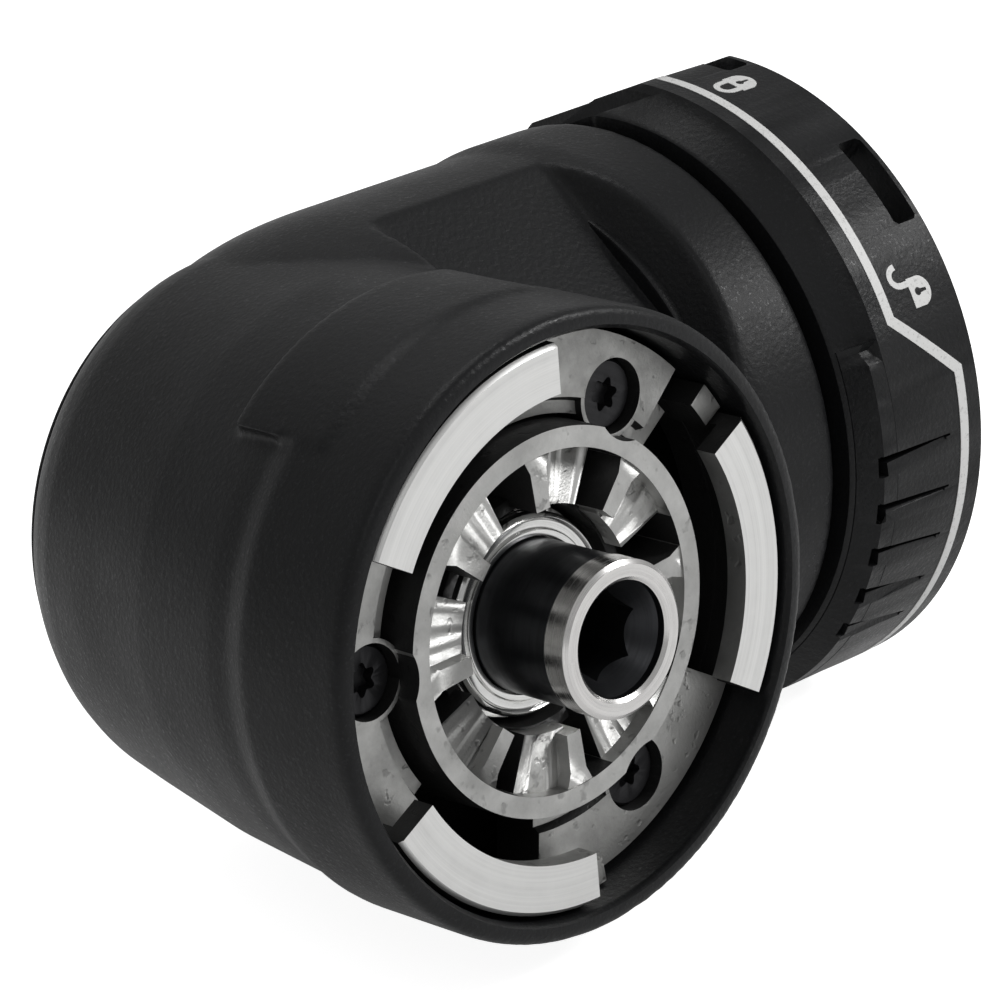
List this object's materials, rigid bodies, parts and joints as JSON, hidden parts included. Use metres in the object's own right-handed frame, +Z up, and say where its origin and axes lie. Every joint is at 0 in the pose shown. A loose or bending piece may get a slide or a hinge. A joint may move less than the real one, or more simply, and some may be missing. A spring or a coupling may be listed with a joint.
{
  "type": "angle adapter",
  "caption": "Right-angle gear head for a drill driver: bayonet lock ring on the input neck, bayonet pads round a hex bit spindle on the output face.",
  "frame": {"origin": "under the middle of the bounding box, on the surface the lock ring lies on", "axes": "+X along the input axis, out of the lock ring; -Y along the output axis, out of the bit socket; +Z up"},
  "size_m": [0.081, 0.0684, 0.056],
  "materials": {
    "black_nylon": "glass-filled moulding, fine matte grain",
    "ring_nylon": "glass-filled moulding, fine matte grain",
    "cast_alloy": "die cast, machined on the seating faces",
    "black_steel": "black oxide",
    "bright_steel": "ground and polished",
    "gear_steel": "machined",
    "spring_steel": "phosphated",
    "bronze": "sintered bronze",
    "magnet": "nickel plated",
    "rubber": "moulded"
  },
  "bodies": {
    "housing": {"housing_body": "black_nylon", "back_cover": "black_nylon", "cover_screw_1": "black_steel", "cover_screw_2": "black_steel", "cover_screw_3": "black_steel", "cover_screw_4": "black_steel", "output_flange": "cast_alloy", "flange_screw_1": "black_steel", "flange_screw_2": "black_steel", "flange_screw_3": "black_steel", "bearing_carrier": "cast_alloy", "output_bearing_outer_race": "bright_steel", "output_bearing_circlip": "spring_steel", "rear_bush": "bronze", "input_bush": "bronze", "input_bearing_outer_race": "bright_steel", "bearing_shim": "spring_steel", "input_seal": "rubber", "input_flange": "cast_alloy", "input_flange_screw_1": "black_steel", "input_flange_screw_2": "black_steel", "input_flange_screw_3": "black_steel", "input_flange_screw_4": "black_steel", "lock_ring_retaining_ring": "spring_steel"},
    "output_train": {"output_spindle": "black_steel", "bit_magnet": "magnet", "spindle_collar": "bright_steel", "output_bearing_inner_race": "bright_steel", "gear_spacer": "gear_steel", "crown_gear": "gear_steel", "crown_gear_circlip": "spring_steel"},
    "input_train": {"input_shaft": "gear_steel", "bevel_pinion": "gear_steel", "pinion_thrust_washer": "spring_steel", "input_bearing_inner_race": "bright_steel"},
    "lock_ring": {"lock_ring": "ring_nylon", "bayonet_ring": "bright_steel", "wave_spring": "spring_steel"},
    "output_cage": {"output_bearing_ball_cage": "bright_steel"},
    "input_cage": {"input_bearing_ball_cage": "bright_steel"}
  },
  "joints": [
    {"name": "output_spin", "type": "hinge", "parent": "housing", "child": "output_train", "pos_m": [-0.0155, 0.00625, 0.028], "axis": [0, 1, 0], "continuous": true},
    {"name": "input_spin", "type": "hinge", "parent": "housing", "child": "input_train", "pos_m": [-0.0155, 0.00625, 0.028], "axis": [1, 0, 0], "continuous": true},
    {"name": "lock_turn", "type": "hinge", "parent": "housing", "child": "lock_ring", "pos_m": [-0.0155, 0.00625, 0.028], "axis": [1, 0, 0], "range_deg": [0, 51]},
    {"name": "output_cage_spin", "type": "hinge", "parent": "housing", "child": "output_cage", "pos_m": [-0.0155, 0.00625, 0.028], "axis": [0, 1, 0], "continuous": true},
    {"name": "input_cage_spin", "type": "hinge", "parent": "housing", "child": "input_cage", "pos_m": [-0.0155, 0.00625, 0.028], "axis": [1, 0, 0], "continuous": true}
  ],
  "couplings": [
    {"joint": "input_spin", "follows": "output_spin", "ratio": 1.5},
    {"joint": "output_cage_spin", "follows": "output_spin", "ratio": 0.42},
    {"joint": "input_cage_spin", "follows": "output_spin", "ratio": 0.56}
  ]
}
